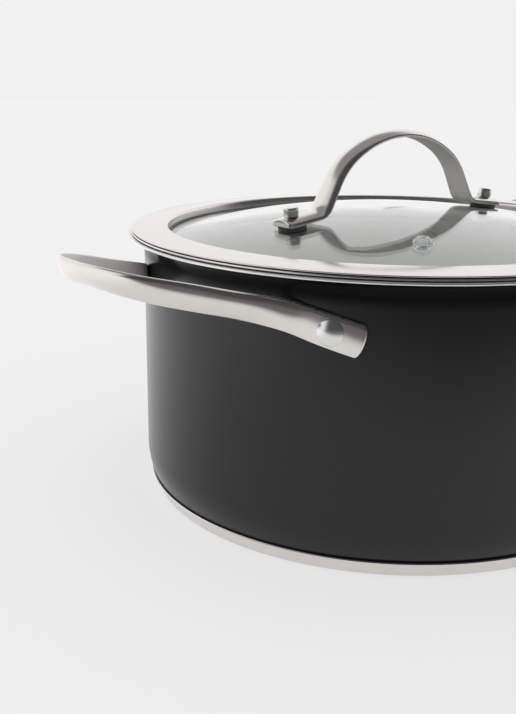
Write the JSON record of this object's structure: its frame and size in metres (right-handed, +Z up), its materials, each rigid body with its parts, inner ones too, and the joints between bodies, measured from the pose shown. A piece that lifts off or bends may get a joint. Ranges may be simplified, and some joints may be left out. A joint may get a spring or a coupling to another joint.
{
  "type": "saucepan with glass lid",
  "caption": "Deep two-handled saucepan in coated steel with a compact base and a lift-off domed glass lid with a steel rim and arched strip handle.",
  "frame": {"origin": "centre of the pot's underside, on the surface that it stands on", "axes": "+Z up through the lid handle, +X through the side handles and along the lid handle, +Y away from the front"},
  "size_m": [0.3518, 0.255, 0.1717],
  "materials": {
    "pot_coat": "matte",
    "core_aluminium": "satin",
    "base_steel": "satin",
    "handle_steel": "satin",
    "rim_steel": "satin",
    "polished_steel": "polished",
    "lid_glass": "gloss",
    "silicone": "matte",
    "clear_silicone": "gloss"
  },
  "bodies": {
    "pot": {"pot_shell": "pot_coat", "base_core": "core_aluminium", "base_cap": "base_steel", "side_handle_left": "handle_steel", "side_handle_right": "handle_steel", "rivet_left_front": "polished_steel", "rivet_left_rear": "polished_steel", "rivet_right_front": "polished_steel", "rivet_right_rear": "polished_steel"},
    "lid": {"lid_glass": "lid_glass", "lid_rim": "rim_steel", "lid_ring": "rim_steel", "rim_gasket": "silicone", "lid_handle": "handle_steel", "upper_pad_left": "silicone", "upper_pad_right": "silicone", "lower_pad_left": "silicone", "lower_pad_right": "silicone", "lid_washer_left": "polished_steel", "lid_washer_right": "polished_steel", "handle_screw_left": "polished_steel", "handle_screw_right": "polished_steel", "cap_nut_left": "polished_steel", "cap_nut_right": "polished_steel", "steam_vent": "clear_silicone"}
  },
  "joints": [
    {"name": "lid_lift", "type": "slide", "parent": "pot", "child": "lid", "axis": [0, 0, 1], "range_m": [0, 0.16]}
  ]
}
